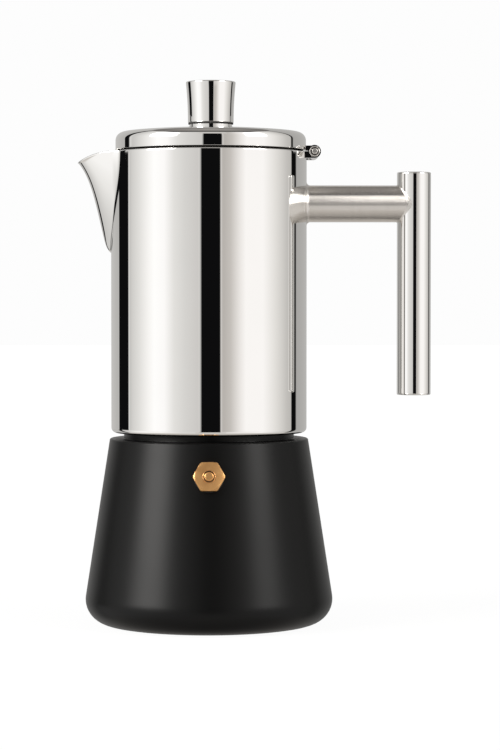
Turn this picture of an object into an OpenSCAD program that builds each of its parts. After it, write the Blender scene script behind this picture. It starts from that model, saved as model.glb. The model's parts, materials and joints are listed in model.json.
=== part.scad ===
// Stovetop coffee maker with a steel jug, a black boiler and a T-shaped tube handle.
// Millimetres, +Z up. The origin is on the boiler's axis, on the surface that the pot stands on.
// The spout points to -X, the handle to +X and the safety valve to -Y.

/* [Boiler] */
// Height of the boiler's shoulder
boiler_h = 77.9; // [77:0.1:78.2]
// Radius of the boiler's wall at the shoulder
boiler_top_r = 41.5; // [41:0.1:43]
// Slope of the boiler's wall from the vertical, in degrees
boiler_taper = 8.8; // [8:0.1:10]
// Radius of the round lower edge
boiler_edge_r = 10.3; // [9.5:0.1:11]
// Thickness of the boiler's sheet
boiler_wall = 1.2; // [1:0.1:1.4]
// Radius of the flat plate that sits on the stove
base_plate_r = 40.8; // [39:0.1:40.8]
// Thickness of that plate
base_plate_h = 4.2; // [3.5:0.1:5]

/* [Screw neck] */
// Radius of the black collar between boiler and jug
collar_r = 35.6; // [35.5:0.1:35.8]
// Radius of the neck at the bottom of its thread
thread_root_r = 34.4; // [34.3:0.1:34.5]
// How far the thread stands out
thread_depth = 0.95; // [0.8:0.05:1]
// Rise of the thread in one turn
thread_pitch = 3; // [2.9:0.1:3.2]
// Radius of the boiler's mouth
mouth_r = 31.8; // [31.6:0.1:32.2]
// Height of the neck's top face
neck_top = 90.5; // [90.4:0.1:90.6]

/* [Safety valve] */
// Height of the valve's axis at the wall
valve_z = 64.3; // [62:0.1:66]
// Width of the valve's hexagon across its flats
valve_hex = 11.9; // [11:0.1:13]
// How far the hexagon stands out from its seal
valve_hex_h = 4.2; // [3.9:0.1:4.4]
// Radius of the pin in the middle of the valve
pin_r = 1.9; // [1.8:0.05:2]

/* [Jug] */
// Outer radius of the jug
jug_r = 40.9; // [40.7:0.1:41.1]
// Thickness of the jug's sheet
jug_wall = 0.9; // [0.8:0.1:1]
// Height of the jug's lower edge
jug_bottom = 80.4; // [80.2:0.1:80.8]
// Height of the jug's rim
jug_top = 197.4; // [196.5:0.1:198]
// Height of the coffee column's top
column_top = 168; // [160:1:175]

/* [Spout] */
// How far the lip reaches from the jug's axis
lip_x = 54.8; // [52:0.1:56]
// Height of the lip's tip
lip_z = 193; // [192:0.1:194]
// Half of the spout's width where it meets the rim
spout_half_w = 18.1; // [16:0.1:19]
// Height of the spout's lowest point
spout_low = 155.5; // [153:0.5:158]

/* [Handle] */
// Distance of the grip's axis from the jug's axis
grip_x = 85.9; // [82:0.1:90]
// Radius of the grip
grip_r = 7.1; // [7:0.1:8]
// Height of the grip's lower end
grip_bottom = 96; // [94:0.5:100]
// Height of the grip's upper end
grip_top = 189.2; // [188:0.1:190]
// Height of the bar's axis
bar_z = 176; // [174:0.5:178]
// Half of the oval bar's height
bar_half_h = 7.7; // [7.2:0.1:8]
// Half of the oval bar's width
bar_half_w = 6.6; // [6.2:0.1:6.8]

/* [Lid] */
// Outer radius of the lid
lid_r = 39.8; // [39.5:0.1:40]
// How far the lid's axis lies towards the hinge
lid_shift = 0.8; // [0.6:0.1:0.9]
// Height of the lid's round shoulder
lid_shoulder_z = 205.8; // [205:0.1:206.5]
// Radius of the lid's round shoulder
lid_shoulder_r = 3.5; // [3:0.1:4]
// Radius of the lid's shallow dome
lid_dome_r = 387; // [300:1:500]
// Gap between the rim and the closed lid
lid_gap = 0.5; // [0.4:0.1:0.6]

/* [Knob] */
// Radius of the knob's lower end
knob_low_r = 9.55; // [9.4:0.05:9.8]
// Radius of the neck between lid and knob
knob_neck_r = 8.9; // [8:0.1:9.2]
// Radius of the knob's upper end
knob_top_r = 10.45; // [10.2:0.05:11]
// Height of the knob's lower end
knob_bottom = 210.2; // [210:0.1:211]
// Height of the knob's upper end
knob_top = 226.9; // [224:0.1:230]

/* [Hinge] */
// Distance of the hinge's axis from the jug's axis
hinge_x = 43.8; // [43.7:0.1:44.2]
// Radius of the hinge's barrel
barrel_r = 2.7; // [2.6:0.05:2.7]
// Radius of the hinge's bolt
bolt_r = 1.25; // [1.2:0.05:1.4]
// Half of the length of the hinge's barrel
barrel_half = 10; // [8:0.5:12]

/* [Hidden] */
$fn = 96;

fit_gap = 0.05;     // planes of two bodies that rest on each other
pin_gap = 0.05;     // a pin in its bore
body_gap = 0.3;     // other faces of bodies that pass each other
foot_lift = 0.2;    // the black shell stays this far off the stove
steel = "silver";
black = "#1c1c1d";
brass = "#c08a4e";
red_rubber = "#d8d4cc";

collar_top = boiler_h + 3.5;
floor_top = base_plate_h + boiler_wall;
seat_z = neck_top + 0.8;             // underside of the gasket
gasket_h = 2.4;
plate_h = 0.8;
floor_z = seat_z + gasket_h + plate_h;  // underside of the jug's floor
ring_r = jug_r - jug_wall;
gasket_r = 34.25;
gasket_bore = 28.2;
basket_r = 31.2;
basket_wall = 0.6;
basket_floor = 70;
sieve_wall = 0.6;
stem_r = 5;
stem_bore = 4.2;
stem_bottom = 8.5;
stem_top = 66;
column_r = 5;
column_bore = 3.8;
column_bottom = 104;
column_cap_r = 6.2;
outlet_r = 2.4;
outlet_drop = 5;
rim_in = 38.2;
lid_low = jug_top + lid_gap;
lid_wall = 1;
skirt_r = 37.1;
skirt_wall = 0.7;
skirt_drop = 4;
tab_half = barrel_half / 2;
nut_flats = 4.1;
nut_h = 1.9;
bolt_end = 0.7;
screw_r = 2;
screw_head_r = 4;
screw_head_h = 2;
cap_h = 3;
chamber_r = 3.3;
poppet_r = 3;
poppet_h = 1.4;
seat_h = 2;
shank_r = 4.95;
shank_len = 8;
seal_h = 0.7;
seal_r = 6.1;
spot_face = 0.45;   // depth of the flat that is milled into the wall under the seal
spring_wire = 0.25;
spring_turns = 6;

// Points of an arc round c, from angle a0 to angle a1.
function arc(c, r, a0, a1, n = 12) =
    [for (i = [0:n]) c + r * [cos(a0 + (a1 - a0) * i / n), sin(a0 + (a1 - a0) * i / n)]];

// Outer radius of the boiler's wall at a height.
function wall_r(z) = boiler_top_r + (boiler_h - z) * tan(boiler_taper);

// The same wall, moved in by the sheet's thickness.
function inner_wall_r(z) = wall_r(z) - boiler_wall / cos(boiler_taper);

edge_z = foot_lift + boiler_edge_r;
edge_c = [wall_r(edge_z) - boiler_edge_r / cos(boiler_taper), edge_z];

// Places children with +Z along the valve's outward axis, at the wall's outer surface.
module at_valve() {
    translate([0, -wall_r(valve_z), valve_z])
        rotate([90 - boiler_taper, 0, 0]) children();
}

// Places children with +Z along the handle's bar.
module along_bar() {
    translate([0, 0, bar_z]) rotate([0, 90, 0]) children();
}

// Places children with +Z along the hinge's axis, towards the back.
module at_hinge() {
    translate([hinge_x, 0, jug_top]) rotate([-90, 0, 0]) children();
}

// A tube between two heights.
module tube(r_out, r_in, z0, z1) {
    translate([0, 0, z0]) difference() {
        cylinder(r = r_out, h = z1 - z0);
        translate([0, 0, -1]) cylinder(r = r_in, h = z1 - z0 + 2);
    }
}

// A hexagonal prism with its top corners turned to a cone, lying flat side up.
module hexagon(flats, h, bevel) {
    corner = flats / 2 / cos(30);
    intersection() {
        cylinder(r = corner, h = h, $fn = 6);
        union() {
            cylinder(r = corner + 1, h = h - bevel);
            translate([0, 0, h - bevel])
                cylinder(r1 = corner, r2 = corner - bevel * 1.7, h = bevel);
        }
    }
}

// A ring of holes for every row of a sieve, as cylinders to cut away.
module sieve_holes(reach, hole_r, spacing, z, h) {
    for (row = [0 : floor(reach / spacing)]) {
        count = row == 0 ? 1 : 6 * row;
        for (i = [0 : count - 1])
            rotate(360 * i / count) translate([row * spacing, 0, z - 1])
                cylinder(r = hole_r, h = h + 2, $fn = 16);
    }
}

// A helical ridge on a wall of radius root. It fades in and out over a twelfth of a turn.
// depth is positive for a ridge that stands outwards and negative for one that stands inwards.
module thread_ridge(root, depth, wide, narrow, z0, turns) {
    steps = 48;
    n = round(turns * steps);
    bite = 0.3 * sign(depth);
    function fade(i) = min(1, i / 4, (n - i) / 4);
    function ring(i) = let (
        a = 360 * i / steps,
        z = z0 + thread_pitch * i / steps,
        crest = root + depth * max(0.02, fade(i)),
        section = [[root - bite, -wide / 2], [root - bite, wide / 2],
                   [crest, narrow / 2], [crest, -narrow / 2]])
        [for (p = section) [p[0] * cos(a), p[0] * sin(a), z + p[1]]];
    points = [for (i = [0:n]) each ring(i)];
    sides = [for (i = [0:n - 1]) for (j = [0:3])
        [4 * i + j, 4 * i + (j + 1) % 4, 4 * i + 4 + (j + 1) % 4, 4 * i + 4 + j]];
    split = [for (q = sides) each [[q[0], q[1], q[2]], [q[0], q[2], q[3]]]];
    ends = [[3, 2, 1, 0], [4 * n, 4 * n + 1, 4 * n + 2, 4 * n + 3]];
    faces = concat(split, ends);
    flipped = [for (f = faces) [for (k = [len(f) - 1 : -1 : 0]) f[k]]];
    polyhedron(points = points, faces = depth > 0 ? flipped : faces, convexity = 8);
}

// ---------------------------------------------------------------- boiler

module boiler_profile() {
    inner_edge_r = boiler_edge_r - boiler_wall;
    inner_edge_z = floor_top + inner_edge_r;
    inner_edge_c = [inner_wall_r(inner_edge_z) - inner_edge_r / cos(boiler_taper), inner_edge_z];
    top_round = 0.8;
    top_c = [wall_r(boiler_h - top_round) - top_round / cos(boiler_taper), boiler_h - top_round];
    under = boiler_h - boiler_wall;
    polygon(concat(
        [[base_plate_r, foot_lift]],
        arc(edge_c, boiler_edge_r, -90, boiler_taper, 16),
        arc(top_c, top_round, boiler_taper, 90, 5),
        [[collar_r, boiler_h], [collar_r, collar_top - 0.4], [collar_r - 0.4, collar_top],
         [thread_root_r, collar_top], [thread_root_r, under], [inner_wall_r(under), under]],
        arc(inner_edge_c, inner_edge_r, boiler_taper, -90, 12),
        [[0, floor_top], [0, base_plate_h], [base_plate_r, base_plate_h]]));
}

module boiler_shell() {
    color(black) difference() {
        rotate_extrude() boiler_profile();
        at_valve() translate([0, 0, -6]) cylinder(r = shank_r + pin_gap, h = 12);
        at_valve() translate([0, 0, -spot_face]) cylinder(r = seal_r + pin_gap, h = 6);
    }
}

module base_plate() {
    groove = 0.3;
    color(steel) difference() {
        rotate_extrude() polygon([[0, 0], [base_plate_r - 0.8, 0], [base_plate_r, 0.8],
                                  [base_plate_r, base_plate_h], [0, base_plate_h]]);
        for (r = [18, 26, 34])
            tube(r + 0.6, r, -groove, groove);
    }
}

module boiler_neck() {
    ring_low = boiler_h - 4;
    color(steel) union() {
        rotate_extrude() polygon([
            [mouth_r, ring_low], [thread_root_r, ring_low], [thread_root_r, neck_top - 0.5],
            [thread_root_r - 0.5, neck_top], [mouth_r + 0.4, neck_top], [mouth_r, neck_top - 0.4]]);
        thread_ridge(thread_root_r, thread_depth, 1.7, 0.9, collar_top + 1.2, 2);
    }
}

// ---------------------------------------------------------------- safety valve

module valve_boss() {
    color(steel) difference() {
        intersection() {
            at_valve() translate([0, 0, -shank_len + 1.5]) cylinder(r = 8, h = shank_len);
            rotate_extrude() polygon([
                [20, valve_z - 12], [inner_wall_r(valve_z - 12), valve_z - 12],
                [inner_wall_r(valve_z + 12), valve_z + 12], [20, valve_z + 12]]);
        }
        at_valve() translate([0, 0, -shank_len - 1]) cylinder(r = shank_r + pin_gap, h = shank_len + 4);
    }
}

module valve_seal() {
    color(black) at_valve() tube(seal_r, shank_r + pin_gap, -spot_face, seal_h);
}

module valve_body() {
    face = seal_h + valve_hex_h;
    shoulder = face - 1.4;
    color(brass) at_valve() difference() {
        union() {
            translate([0, 0, seal_h]) hexagon(valve_hex, valve_hex_h, 0.35);
            translate([0, 0, -shank_len]) cylinder(r = shank_r, h = shank_len + seal_h + 0.1);
        }
        translate([0, 0, -shank_len - 1]) cylinder(r = chamber_r, h = shank_len + 1 + shoulder);
        translate([0, 0, shoulder - 1]) cylinder(r = pin_r + 0.45, h = 3);
        translate([0, 0, face - 0.3]) cylinder(r1 = pin_r + 0.45, r2 = pin_r + 0.85, h = 0.4);
    }
}

module valve_seat() {
    color(brass) at_valve() difference() {
        translate([0, 0, -shank_len]) cylinder(r = chamber_r, h = seat_h);
        translate([0, 0, -shank_len - 1]) cylinder(r = 1.4, h = seat_h + 2);
    }
}

module valve_pin() {
    low = -shank_len + seat_h + fit_gap;
    face = seal_h + valve_hex_h;
    color(brass) at_valve() union() {
        translate([0, 0, low]) cylinder(r = poppet_r, h = poppet_h);
        translate([0, 0, low]) cylinder(r = pin_r, h = face - low);
        translate([0, 0, face]) cylinder(r1 = pin_r, r2 = pin_r - 0.3, h = 0.35);
    }
}

module valve_spring() {
    low = -shank_len + seat_h + fit_gap + poppet_h + spring_wire;
    high = seal_h + valve_hex_h - 1.4 - spring_wire;
    coil_r = (pin_r + chamber_r) / 2;
    steps = 20;
    sides = 6;
    n = spring_turns * steps;
    points = [for (i = [0:n]) for (j = [0:sides - 1])
        let (a = 360 * i / steps, b = 360 * j / sides, r = coil_r + spring_wire * cos(b))
        [r * cos(a), r * sin(a), low + (high - low) * i / n + spring_wire * sin(b)]];
    walls = [for (i = [0:n - 1]) for (j = [0:sides - 1]) each [
        [i * sides + j, (i + 1) * sides + (j + 1) % sides, i * sides + (j + 1) % sides],
        [i * sides + j, (i + 1) * sides + j, (i + 1) * sides + (j + 1) % sides]]];
    ends = [[for (j = [0:sides - 1]) j], [for (j = [sides - 1:-1:0]) n * sides + j]];
    color(steel) at_valve() polyhedron(points = points, faces = concat(walls, ends), convexity = 10);
}

// ---------------------------------------------------------------- funnel

module funnel_basket() {
    rim_low = neck_top + fit_gap;
    rim_top = seat_z - fit_gap;
    inner = basket_r - basket_wall;
    color(steel) rotate_extrude() polygon([
        [stem_r, stem_top - 3], [stem_r + 1, stem_top - 3], [basket_r - 3, basket_floor - 3],
        [basket_r, basket_floor], [basket_r, rim_low], [gasket_r - 0.4, rim_low],
        [gasket_r - 0.4, rim_top], [inner, rim_top], [inner, basket_floor + 0.3],
        [inner - 2.6, basket_floor - 2.4], [stem_r + 0.8, stem_top - 2.3], [stem_r, stem_top - 2.3]]);
}

module funnel_stem() {
    color(steel) difference() {
        rotate_extrude() polygon([
            [stem_bore, stem_bottom], [stem_r, stem_bottom], [stem_r, stem_top - 2.3],
            [stem_r + 0.7, stem_top - 2.3], [stem_r + 0.7, stem_top - 1.6], [stem_bore, stem_top - 1.6]]);
        translate([0, 0, stem_bottom]) rotate([90, 0, 0]) cylinder(r = 2, h = 12, center = true);
    }
}

module funnel_sieve() {
    z = basket_floor + 2.4;
    r = basket_r - basket_wall;
    color(steel) difference() {
        rotate_extrude() polygon([
            [0, z], [r - sieve_wall, z], [r - sieve_wall, z - 1.8], [r, z - 1.8],
            [r, z + sieve_wall], [0, z + sieve_wall]]);
        sieve_holes(26, 0.9, 4.3, z, sieve_wall);
    }
}

// ---------------------------------------------------------------- jug

module gasket() {
    color(red_rubber) difference() {
        rotate_extrude() polygon([
            [gasket_bore, seat_z], [gasket_r - 0.4, seat_z], [gasket_r, seat_z + 0.4],
            [gasket_r, seat_z + gasket_h], [gasket_bore, seat_z + gasket_h]]);
        tube(31.6, 30.6, seat_z - 0.5, seat_z + 0.5);
    }
}

module filter_plate() {
    z = seat_z + gasket_h;
    color(steel) difference() {
        translate([0, 0, z]) cylinder(r = 31, h = plate_h);
        sieve_holes(24, 0.8, 4, z, plate_h);
    }
}

module thread_ring() {
    low = jug_bottom + 1;
    land = neck_top + 0.5;
    root = thread_root_r + thread_depth + 0.4;
    color(steel) union() {
        rotate_extrude() polygon([
            [root + 0.4, low], [ring_r, low], [ring_r, floor_z], [gasket_r + 0.05, floor_z],
            [gasket_r + 0.05, land], [root, land], [root, low + 0.4]]);
        thread_ridge(root, -thread_depth - 0.05, 1.6, 0.8,
                     collar_top + 1.2 + thread_pitch / 2, 1.6);
    }
}

// The outline of the spout's mouth in the jug's wall, as half widths over the height.
function mouth_half_w(z) = spout_half_w * sqrt(max(0, (z - spout_low) / (jug_top - spout_low)));

module mouth_outline(shrink) {
    low = spout_low + 2 * shrink;
    heights = [for (i = [0:10]) low + (jug_top - low) * pow(i / 10, 1.5)];
    half = [for (z = heights) [max(0, mouth_half_w(z) - shrink), z]];
    polygon(concat([for (p = half) [p[0], p[1]]], [[half[10][0], jug_top + 2], [-half[10][0], jug_top + 2]],
                   [for (i = [10:-1:1]) [-half[i][0], half[i][1]]]));
}

module jug_shell() {
    foot_round = 2;
    top_round = 0.8;
    lip = jug_bottom + 1;
    color(steel) difference() {
        rotate_extrude() polygon(concat(
            [[collar_r + 0.5, jug_bottom]],
            arc([jug_r - foot_round, jug_bottom + foot_round], foot_round, -90, 0, 6),
            arc([jug_r - top_round, jug_top - top_round], top_round, 0, 90, 5),
            [[rim_in, jug_top], [rim_in, jug_top - jug_wall], [ring_r, jug_top - jug_wall],
             [ring_r, lip], [collar_r + 0.5, lip]]));
        translate([-20, 0, 0]) rotate([0, -90, 0]) rotate(-90)
            linear_extrude(40) mouth_outline(2.2);
    }
}

module jug_floor() {
    flange = floor_z + 4.5;
    cone_top = 112;
    color(steel) rotate_extrude() polygon([
        [column_r, cone_top - 1.1], [29.2, floor_z], [ring_r, floor_z], [ring_r, flange],
        [ring_r - 0.8, flange], [ring_r - 0.8, floor_z + 1], [29.6, floor_z + 1],
        [column_r + 0.6, cone_top], [column_r, cone_top]]);
}

module column() {
    color(steel) difference() {
        tube(column_r, column_bore, column_bottom, column_top);
        translate([0, 0, column_top - outlet_drop]) rotate([90, 0, 0])
            cylinder(r = outlet_r, h = 3 * column_r, center = true);
    }
}

module column_cap() {
    color(steel) rotate_extrude() polygon(concat(
        [[column_bore, column_top - 1.5], [column_bore, column_top], [column_cap_r, column_top]],
        arc([column_cap_r - 1.5, column_top + 0.8], 1.5, 0, 75, 5),
        [[0, column_top + 3], [0, column_top - 1.5]]));
}

// Height of the spout's rim and of its keel, at a distance from the jug's axis.
function rim_z(x) = jug_top - (jug_top - lip_z) * pow(max(0, (x - 38)) / (lip_x - 38), 2.2);
function keel_x(t) = let (flare = 3.2 * pow(t, 7)) jug_r + (lip_x - flare_max - jug_r) * t + flare;
flare_max = 3.2;

// One level of the spout: points from one root on the wall, round the keel, to the other root.
function spout_level(t, inset) = let (
    z = spout_low + (lip_z - spout_low) * t,
    half = max(0.6, spout_half_w * sqrt(t) - inset),
    nose = max(jug_r + 0.3, keel_x(t) - inset),
    root = sqrt(jug_r * jug_r - half * half) - 0.4)
    [for (j = [-6:6]) let (
        s = j / 6,
        y = half * s * (0.4 + 0.6 * abs(s)),
        along = 1 - pow(abs(s), 1.35),
        x = root + (nose - root) * along)
        [-x, y, along > 0.02 && t > 0.99 ? rim_z(x) : z + (rim_z(x) - lip_z) * pow(t, 4)]];

module spout() {
    levels = 14;
    across = 13;
    wall = 0.9;
    outer = [for (i = [0:levels]) each spout_level(i / levels, 0)];
    inner = [for (i = [0:levels]) each spout_level(i / levels, wall)];
    count = (levels + 1) * across;
    function quad(a, b, c, d) = [[a, b, c], [a, c, d]];
    skin = [for (i = [0:levels - 1]) for (j = [0:across - 2])
        each quad(i * across + j, i * across + j + 1, (i + 1) * across + j + 1, (i + 1) * across + j)];
    lining = [for (f = skin) [f[2] + count, f[1] + count, f[0] + count]];
    top = levels * across;
    rim = [for (j = [0:across - 2]) each quad(top + j, top + j + 1, count + top + j + 1, count + top + j)];
    base = [for (j = [0:across - 2]) each quad(j + 1, j, count + j, count + j + 1)];
    left = [for (i = [0:levels - 1]) let (low = i * across, high = low + across)
        each quad(high, count + high, count + low, low)];
    right = [for (i = [0:levels - 1]) let (low = (i + 1) * across - 1, high = low + across)
        each quad(low, count + low, count + high, high)];
    color(steel) difference() {
        polyhedron(points = concat(outer, inner),
                   faces = concat(skin, lining, rim, base, left, right), convexity = 6);
        jug_solid();
    }
}

// ---------------------------------------------------------------- handle

// Cross-section of the oval bar, grown by grow all round. Its long side lies along X here.
module oval(grow = 0) {
    r = bar_half_w + grow;
    off = bar_half_h - bar_half_w;
    union() {
        translate([off, 0]) circle(r = r);
        translate([-off, 0]) circle(r = r);
        square([2 * off, 2 * r], center = true);
    }
}

module jug_solid() {
    cylinder(r = jug_r, h = jug_top + 5);
}

module grip_solid() {
    translate([grip_x, 0, grip_bottom]) cylinder(r = grip_r, h = grip_top - grip_bottom);
}

module bar_collar() {
    color(steel) difference() {
        along_bar() translate([0, 0, jug_r - 5]) linear_extrude(6.6) oval(1);
        along_bar() translate([0, 0, jug_r - 6]) linear_extrude(9) oval();
        jug_solid();
    }
}

module handle_bar() {
    color(steel) difference() {
        along_bar() translate([0, 0, jug_r - 3]) linear_extrude(grip_x - jug_r + 3) oval();
        jug_solid();
        grip_solid();
    }
}

module handle_grip() {
    wall = 1;
    color(steel) translate([grip_x, 0, 0]) tube(grip_r, grip_r - wall, grip_bottom + 0.6, grip_top - 0.6);
}

// An end plug of the grip. It stands on z = 0 and its rounded face points up.
module grip_cap() {
    rotate_extrude() polygon([
        [0, -cap_h], [grip_r - 1, -cap_h], [grip_r - 1, 0], [grip_r, 0], [grip_r, 0.15],
        [grip_r - 0.45, 0.6], [0, 0.6]]);
}

module grip_cap_top() {
    color(steel) translate([grip_x, 0, grip_top - 0.6]) grip_cap();
}

module grip_cap_bottom() {
    color(steel) translate([grip_x, 0, grip_bottom + 0.6]) mirror([0, 0, 1]) grip_cap();
}

// ---------------------------------------------------------------- hinge

module hinge_lugs() {
    inner = tab_half + 0.2;
    color(steel) difference() {
        for (side = [0, 1]) mirror([0, side, 0]) union() {
            at_hinge() translate([0, 0, inner]) cylinder(r = barrel_r, h = barrel_half - inner);
            translate([jug_r - 4, inner, jug_top - barrel_r])
                cube([hinge_x - jug_r + 4, barrel_half - inner, barrel_r]);
        }
        at_hinge() cylinder(r = bolt_r, h = 4 * barrel_half, center = true);
        translate([0, 0, 1]) jug_solid();
    }
}

module hinge_bolt() {
    color(steel) at_hinge() union() {
        translate([0, 0, -barrel_half - nut_h - bolt_end])
            cylinder(r = bolt_r, h = 2 * barrel_half + nut_h + bolt_end + 0.5);
        translate([0, 0, barrel_half]) cylinder(r1 = 2.4, r2 = 2, h = 1.6);
    }
}

module hinge_nut() {
    color(steel) at_hinge() translate([0, 0, -barrel_half]) mirror([0, 0, 1]) difference() {
        hexagon(nut_flats, nut_h, 0.2);
        translate([0, 0, -1]) cylinder(r = bolt_r, h = nut_h + 2);
        translate([0, 0, nut_h - 0.4]) cylinder(r1 = bolt_r, r2 = bolt_r + 0.45, h = 0.45);
    }
}

// ---------------------------------------------------------------- lid

// Half section of the lid's sheet, out to radius r, with its shoulder and dome moved in by inset.
function lid_curve(inset) = let (
    shoulder = lid_shoulder_r - inset,
    c = [lid_r - lid_shoulder_r, lid_shoulder_z - lid_shoulder_r],
    lean = asin(c[0] / (lid_dome_r - lid_shoulder_r)),
    centre_z = c[1] - (lid_dome_r - lid_shoulder_r) * cos(lean))
    concat(arc(c, shoulder, 0, 90 - lean, 8),
           arc([0, centre_z], lid_dome_r - inset, 90 - lean * 0.66, 90, 4));

module lid_shell() {
    outer = lid_curve(0);
    inner = lid_curve(lid_wall);
    color(steel) translate([lid_shift, 0, 0]) difference() {
        rotate_extrude() polygon(concat(
            [[lid_r - lid_wall, lid_low], [lid_r, lid_low]], outer,
            [for (i = [len(inner) - 1 : -1 : 0]) inner[i]]));
        translate([0, 0, lid_low]) cylinder(r = screw_r, h = 20);
    }
}

module lid_skirt() {
    high = lid_low + 3;
    color(steel) translate([lid_shift, 0, 0]) rotate_extrude() polygon([
        [skirt_r - skirt_wall, lid_low - skirt_drop], [skirt_r, lid_low - skirt_drop],
        [skirt_r, high], [lid_r - lid_wall, high], [lid_r - lid_wall, high + skirt_wall],
        [skirt_r - skirt_wall, high + skirt_wall]]);
}

module lid_tab() {
    color(steel) difference() {
        union() {
            at_hinge() cylinder(r = barrel_r, h = 2 * tab_half, center = true);
            translate([lid_r - 3, -tab_half, jug_top + lid_gap + 0.1])
                cube([hinge_x - lid_r + 3, 2 * tab_half, barrel_r - lid_gap - 0.1]);
        }
        at_hinge() cylinder(r = bolt_r + pin_gap, h = 4 * tab_half, center = true);
        translate([lid_shift, 0, lid_low - 10]) cylinder(r = lid_r, h = 20);
        translate([0, 0, -body_gap]) cylinder(r = jug_r + 0.1, h = jug_top + body_gap);
    }
}

lid_top = lid_curve(0)[13][1];
washer_h = 0.8;
washer_top = lid_top - lid_wall - 0.06;   // the lid's dome falls by this much under the washer

module knob_collar() {
    color(steel) translate([lid_shift, 0, 0]) difference() {
        rotate_extrude() polygon([
            [0, lid_top], [knob_neck_r, lid_top], [knob_neck_r, knob_bottom], [0, knob_bottom]]);
        translate([0, 0, lid_top - 1]) cylinder(r = screw_r, h = 6);
    }
}

// Radius of the knob, which flares with the square of its height.
function knob_r(t) = knob_low_r + (knob_top_r - knob_low_r) * t * t;

module knob() {
    h = knob_top - knob_bottom;
    color(steel) translate([lid_shift, 0, knob_bottom]) difference() {
        rotate_extrude() polygon(concat(
            [[0, 0], [knob_low_r - 0.5, 0], [knob_low_r, 0.5]],
            [for (i = [1:9]) [knob_r(i / 10), h * i / 10]],
            [[knob_top_r, h - 0.6], [knob_top_r - 0.6, h], [0, h]]));
        translate([0, 0, -1]) cylinder(r = screw_r, h = 9);
    }
}

module knob_washer() {
    color(steel) translate([lid_shift, 0, washer_top - washer_h]) difference() {
        cylinder(r = 6, h = washer_h);
        translate([0, 0, -1]) cylinder(r = screw_r, h = 3);
    }
}

module knob_screw() {
    head_top = washer_top - washer_h;
    color(steel) translate([lid_shift, 0, 0]) difference() {
        union() {
            translate([0, 0, head_top]) cylinder(r = screw_r, h = knob_bottom + 8 - head_top);
            translate([0, 0, head_top - screw_head_h])
                cylinder(r1 = screw_head_r - 0.8, r2 = screw_head_r, h = screw_head_h);
        }
        for (turn = [0, 90]) rotate(turn)
            translate([-2.5, -0.4, head_top - screw_head_h - 1]) cube([5, 0.8, 2]);
    }
}

boiler_shell();
base_plate();
boiler_neck();
valve_boss();
valve_seal();
valve_body();
valve_seat();
valve_spring();
valve_pin();
funnel_basket();
funnel_stem();
funnel_sieve();
gasket();
filter_plate();
thread_ring();
jug_shell();
jug_floor();
column();
column_cap();
spout();
bar_collar();
handle_bar();
handle_grip();
grip_cap_top();
grip_cap_bottom();
hinge_lugs();
hinge_bolt();
hinge_nut();
lid_shell();
lid_skirt();
lid_tab();
knob_collar();
knob();
knob_washer();
knob_screw();
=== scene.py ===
import json
import math

import bpy
import numpy as np
from bpy.props import FloatProperty, FloatVectorProperty, IntProperty, PointerProperty
from mathutils import Matrix, Vector


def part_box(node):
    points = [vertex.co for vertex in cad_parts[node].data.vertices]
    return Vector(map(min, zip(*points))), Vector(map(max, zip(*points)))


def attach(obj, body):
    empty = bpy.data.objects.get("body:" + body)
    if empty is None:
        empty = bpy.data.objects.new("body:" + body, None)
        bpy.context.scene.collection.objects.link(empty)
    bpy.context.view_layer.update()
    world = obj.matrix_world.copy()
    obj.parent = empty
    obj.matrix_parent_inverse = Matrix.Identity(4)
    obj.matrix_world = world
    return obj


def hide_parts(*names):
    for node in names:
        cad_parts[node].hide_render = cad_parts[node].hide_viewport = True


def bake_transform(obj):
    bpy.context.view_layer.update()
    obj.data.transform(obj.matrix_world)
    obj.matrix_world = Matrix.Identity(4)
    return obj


bl_info = {
    "name": "Stovetop coffee maker",
    "version": (1, 0, 0),
    "blender": (4, 5, 0),
    "location": "View3D > Sidebar > Coffee maker",
    "description": "Steel jug, black boiler, brass safety valve and T-shaped tube handle",
    "category": "Add Mesh",
}

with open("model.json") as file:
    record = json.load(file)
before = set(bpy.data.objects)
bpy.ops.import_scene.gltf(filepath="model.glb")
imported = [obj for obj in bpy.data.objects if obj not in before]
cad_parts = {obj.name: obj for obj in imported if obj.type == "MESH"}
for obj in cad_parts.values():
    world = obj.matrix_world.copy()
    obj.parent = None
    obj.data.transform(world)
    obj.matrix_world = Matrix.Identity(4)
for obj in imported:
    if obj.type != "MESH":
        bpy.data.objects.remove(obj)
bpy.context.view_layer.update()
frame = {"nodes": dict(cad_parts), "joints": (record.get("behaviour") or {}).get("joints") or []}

MM = 0.001


def half_size(node, axis):
    """Half of a CAD node's width along an axis."""
    low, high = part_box(node)
    return (high[axis] - low[axis]) / 2


def middle(node):
    """Middle of a CAD node's box."""
    low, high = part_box(node)
    return (low + high) / 2


def joint(name):
    """The record of the joint of that name."""
    return next(entry for entry in frame["joints"] if entry["name"] == name)


X, Y, Z = 0, 1, 2
JUG_R = half_size("jug_shell", Y)
JUG_LOW, JUG_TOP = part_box("jug_shell")[0].z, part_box("jug_shell")[1].z
LIP_X = -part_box("spout")[0].x
LIP_Z = JUG_TOP - 4 * MM
SPOUT_FOOT = LIP_Z - 38 * MM
GRIP_X = middle("handle_grip").x
GRIP_R = half_size("handle_grip", X)
GRIP_LOW, GRIP_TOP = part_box("grip_cap_bottom")[0].z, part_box("grip_cap_top")[1].z
BAR_Z = middle("handle_bar").z
BAR_HALF_H, BAR_HALF_W = half_size("handle_bar", Z), half_size("handle_bar", Y)
LID_X = middle("lid_shell").x
LID_R = half_size("lid_shell", X)
LID_LOW, LID_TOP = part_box("lid_shell")[0].z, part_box("lid_shell")[1].z
KNOB_R = half_size("knob", X)
KNOB_LOW, KNOB_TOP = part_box("knob")[0].z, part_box("knob")[1].z
NECK_R = half_size("knob_collar", X)
BOILER_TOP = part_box("boiler_shell")[1].z
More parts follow.
